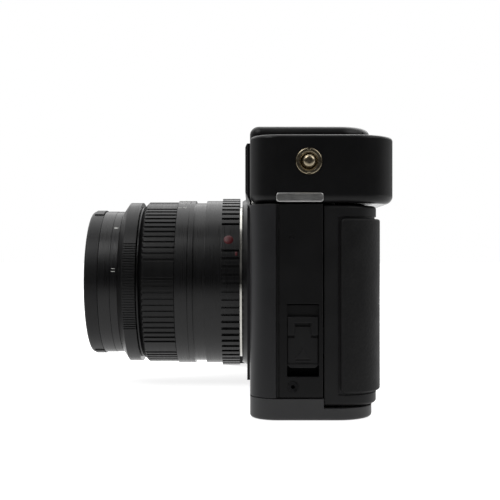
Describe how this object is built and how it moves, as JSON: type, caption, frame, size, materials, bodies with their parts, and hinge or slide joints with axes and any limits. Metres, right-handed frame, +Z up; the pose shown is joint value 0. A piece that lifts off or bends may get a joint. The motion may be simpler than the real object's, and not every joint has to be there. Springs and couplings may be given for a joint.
{
  "type": "panoramic film camera",
  "caption": "Wide-bodied panoramic 35 mm rangefinder film camera with interchangeable lens, filter, lens cap, hinged back, strap studs and tripod socket.",
  "frame": {"origin": "on the base plane at the mouth of the tripod socket, under the lens axis", "axes": "+X to the holder's left, -Y where the lens points, +Z up"},
  "size_m": [0.1702, 0.0998, 0.0834],
  "materials": {
    "chassis_casting": "matt black-dyed casting",
    "black_paint": "semi-matt black paint on aluminium and titanium sheet",
    "black_anodised": "satin black anodised",
    "rubber_black": "fine-grained rubber",
    "bright_metal": "bright plated",
    "brushed_metal": "brushed",
    "steel_parts": "machined or blackened steel",
    "brass_parts": "turned",
    "black_plastic": "moulded",
    "clear_glass": "coated",
    "battery_cells": "sleeved cells",
    "red_enamel": "glossy red enamel, for index marks",
    "white_marking": "white paint filled into engraved figures"
  },
  "bodies": {
    "camera_body": {"chassis": "chassis_casting", "front_cover": "black_paint", "side_panel_left": "black_paint", "top_cover": "black_paint", "bottom_cover": "black_paint", "grip_rubber": "rubber_black", "mount_boss": "black_anodised", "body_bayonet": "bright_metal", "body_screws": "steel_parts", "strap_lugs": "bright_metal", "rub_plates": "brushed_metal", "viewfinder_bezel": "black_paint", "viewfinder_window": "clear_glass", "illumination_window": "clear_glass", "rangefinder_window": "clear_glass", "finder_prism": "clear_glass", "eyepiece_ring": "black_plastic", "eyepiece_lens": "clear_glass", "accessory_shoe": "brushed_metal", "counter_window": "clear_glass", "shutter_frame": "chassis_casting", "tripod_bush": "brass_parts", "sync_socket": "bright_metal", "batteries": "battery_cells", "hinge_pin": "steel_parts"},
    "latch": {"latch_slider": "black_plastic", "latch_hook": "steel_parts"},
    "lead_upper": {"lead_leaf_upper": "steel_parts"},
    "lead_lower": {"lead_leaf_lower": "steel_parts"},
    "trail_lower": {"trail_leaf_lower": "steel_parts"},
    "trail_upper": {"trail_leaf_upper": "steel_parts"},
    "left_mask": {"mask_left": "steel_parts"},
    "right_mask": {"mask_right": "steel_parts"},
    "battery_hatch": {"battery_cover": "black_paint"},
    "hatch_lock": {"battery_lock": "steel_parts"},
    "spool": {"take_up_spool": "black_plastic"},
    "sprocket": {"sprocket_shaft": "black_plastic"},
    "fork": {"drive_fork": "black_plastic"},
    "door": {"back_door": "black_paint", "door_pad": "rubber_black", "pressure_springs": "steel_parts"},
    "plate": {"pressure_plate": "steel_parts"},
    "release": {"shutter_button": "black_anodised"},
    "drive_ring": {"drive_selector": "black_anodised"},
    "speed_knob": {"speed_dial": "black_anodised"},
    "format_knob": {"format_selector": "black_anodised"},
    "rewind": {"rewind_button": "black_anodised"},
    "mount_button": {"lens_release": "black_anodised"},
    "lens": {"lens_flange": "bright_metal", "lens_barrel": "black_anodised"},
    "focus": {"focus_ring": "black_anodised"},
    "head": {"lens_head": "chassis_casting", "lens_elements": "clear_glass", "iris_blades": "steel_parts", "filter_ring": "black_anodised", "filter_glass": "clear_glass"},
    "aperture": {"aperture_ring": "black_anodised"},
    "cap": {"lens_cap": "black_plastic"},
    "upper_tab": {"cap_tab_top": "black_plastic"},
    "lower_tab": {"cap_tab_bottom": "black_plastic"}
  },
  "joints": [
    {"name": "door_swing", "type": "hinge", "parent": "camera_body", "child": "door", "pos_m": [-0.08, 0.0066, 0.03], "axis": [0, 0, 1], "range_deg": [0, 110]},
    {"name": "latch_lift", "type": "slide", "parent": "camera_body", "child": "latch", "axis": [0, 0, 1], "range_m": [0, 0.0032], "stiffness_N_per_m": 300, "springref_m": -0.002},
    {"name": "plate_press", "type": "slide", "parent": "door", "child": "plate", "axis": [0, 1, 0], "range_m": [0, 0.0006], "stiffness_N_per_m": 900, "springref_m": -0.001, "deforming": ["pressure_springs"]},
    {"name": "lead_curtain_run", "type": "slide", "parent": "camera_body", "child": "lead_upper", "axis": [0, 0, -1], "range_m": [0, 0.0249]},
    {"name": "lead_lower_run", "type": "slide", "parent": "camera_body", "child": "lead_lower", "axis": [0, 0, -1], "range_m": [0, 0.01245]},
    {"name": "trail_curtain_run", "type": "slide", "parent": "camera_body", "child": "trail_lower", "axis": [0, 0, -1], "range_m": [0, 0.025]},
    {"name": "trail_upper_run", "type": "slide", "parent": "camera_body", "child": "trail_upper", "axis": [0, 0, -1], "range_m": [0, 0.0125]},
    {"name": "format_turn", "type": "hinge", "parent": "camera_body", "child": "format_knob", "pos_m": [-0.035, 0.0245, 0.0695], "axis": [0, 1, 0], "range_deg": [0, 90]},
    {"name": "mask_left_run", "type": "slide", "parent": "camera_body", "child": "left_mask", "axis": [-1, 0, 0], "range_m": [0, 0.015]},
    {"name": "mask_right_run", "type": "slide", "parent": "camera_body", "child": "right_mask", "axis": [1, 0, 0], "range_m": [0, 0.015]},
    {"name": "hatch_off", "type": "slide", "parent": "camera_body", "child": "battery_hatch", "axis": [0, 0, -1], "range_m": [0, 0.012]},
    {"name": "hatch_lock_turn", "type": "hinge", "parent": "battery_hatch", "child": "hatch_lock", "pos_m": [-0.0585, -0.011, 0.002], "axis": [0, 0, 1], "range_deg": [0, 90]},
    {"name": "spool_turn", "type": "hinge", "parent": "camera_body", "child": "spool", "pos_m": [-0.067, 0.0042, 0.035], "axis": [0, 0, 1], "continuous": true},
    {"name": "sprocket_turn", "type": "hinge", "parent": "camera_body", "child": "sprocket", "pos_m": [-0.0535, 0.00832, 0.035], "axis": [0, 0, 1], "continuous": true},
    {"name": "fork_turn", "type": "hinge", "parent": "camera_body", "child": "fork", "pos_m": [0.063, 0.0042, 0.055], "axis": [0, 0, 1], "continuous": true},
    {"name": "shutter_press", "type": "slide", "parent": "camera_body", "child": "release", "axis": [0, 0, -1], "range_m": [0, 0.0012], "stiffness_N_per_m": 400, "springref_m": -0.001},
    {"name": "drive_turn", "type": "hinge", "parent": "camera_body", "child": "drive_ring", "pos_m": [-0.064, -0.0055, 0.08], "axis": [0, 0, 1], "range_deg": [0, 90]},
    {"name": "speed_turn", "type": "hinge", "parent": "camera_body", "child": "speed_knob", "pos_m": [-0.042, -0.002, 0.08], "axis": [0, 0, 1], "range_deg": [0, 306]},
    {"name": "rewind_press", "type": "slide", "parent": "camera_body", "child": "rewind", "axis": [0, 0, 1], "range_m": [0, 0.001], "stiffness_N_per_m": 500, "springref_m": -0.0008},
    {"name": "release_press", "type": "slide", "parent": "camera_body", "child": "mount_button", "axis": [0, 1, 0], "range_m": [0, 0.0012], "stiffness_N_per_m": 600, "springref_m": -0.001},
    {"name": "lens_twist", "type": "hinge", "parent": "camera_body", "child": "lens", "pos_m": [0, -0.02, 0.0355], "axis": [0, -1, 0], "range_deg": [0, 60]},
    {"name": "focus_turn", "type": "hinge", "parent": "lens", "child": "focus", "pos_m": [0, -0.02, 0.0355], "axis": [0, -1, 0], "range_deg": [0, 95]},
    {"name": "focus_run", "type": "slide", "parent": "lens", "child": "head", "axis": [0, -1, 0], "range_m": [0, 0.0031]},
    {"name": "aperture_turn", "type": "hinge", "parent": "head", "child": "aperture", "pos_m": [0, -0.02, 0.0355], "axis": [0, -1, 0], "range_deg": [-76, 38]},
    {"name": "cap_off", "type": "slide", "parent": "head", "child": "cap", "axis": [0, -1, 0], "range_m": [0, 0.015]},
    {"name": "tab_top_press", "type": "slide", "parent": "cap", "child": "upper_tab", "axis": [0, 0, -1], "range_m": [0, 0.0016], "stiffness_N_per_m": 500, "springref_m": -0.001},
    {"name": "tab_bottom_press", "type": "slide", "parent": "cap", "child": "lower_tab", "axis": [0, 0, 1], "range_m": [0, 0.0016], "stiffness_N_per_m": 500, "springref_m": -0.001}
  ],
  "couplings": [
    {"joint": "lead_lower_run", "follows": "lead_curtain_run", "ratio": 0.5},
    {"joint": "trail_upper_run", "follows": "trail_curtain_run", "ratio": 0.5},
    {"joint": "mask_right_run", "follows": "mask_left_run", "ratio": 1},
    {"joint": "format_turn", "follows": "mask_left_run", "rad_per_m": 104.72},
    {"joint": "sprocket_turn", "follows": "spool_turn", "ratio": 0.8264},
    {"joint": "fork_turn", "follows": "spool_turn", "ratio": 0.625},
    {"joint": "focus_turn", "follows": "focus_run", "rad_per_m": 534.85}
  ]
}
